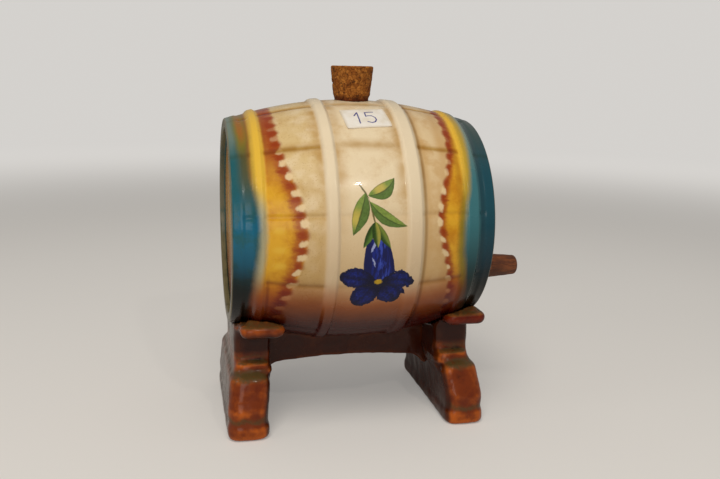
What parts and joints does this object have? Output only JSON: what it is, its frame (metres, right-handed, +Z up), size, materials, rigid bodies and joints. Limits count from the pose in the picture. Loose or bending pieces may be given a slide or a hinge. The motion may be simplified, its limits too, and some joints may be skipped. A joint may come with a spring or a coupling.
{
  "type": "barrel",
  "caption": "Small glazed earthenware barrel lying on its own stand, with a lift-out cork bung on top and a pull-out stopper in the tap hole of one head.",
  "frame": {"origin": "middle of the whole length and depth, on the surface that the stand rests on", "axes": "+X along the barrel towards the tap stopper, +Y away from the decorated front, +Z up"},
  "size_m": [0.1586, 0.1212, 0.1765],
  "materials": {
    "barrel_glaze": "glossy hand-coloured glaze",
    "head_glaze": "glossy glaze",
    "stand_glaze": "glossy brown glaze",
    "cork": "matt granular cork",
    "stopper_wood": "matt stained wood",
    "label_paper": "matt paper"
  },
  "bodies": {
    "barrel": {"barrel_shell": "barrel_glaze", "left_head": "head_glaze", "right_head": "head_glaze", "left_trestle": "stand_glaze", "right_trestle": "stand_glaze", "stretcher": "stand_glaze", "price_label": "label_paper"},
    "cork": {"bung_cork": "cork"},
    "stopper": {"tap_stopper": "stopper_wood"}
  },
  "joints": [
    {"name": "bung_lift", "type": "slide", "parent": "barrel", "child": "cork", "axis": [0, 0, 1], "range_m": [0, 0.02]},
    {"name": "stopper_pull", "type": "slide", "parent": "barrel", "child": "stopper", "axis": [1, 0, 0], "range_m": [0, 0.02]}
  ]
}
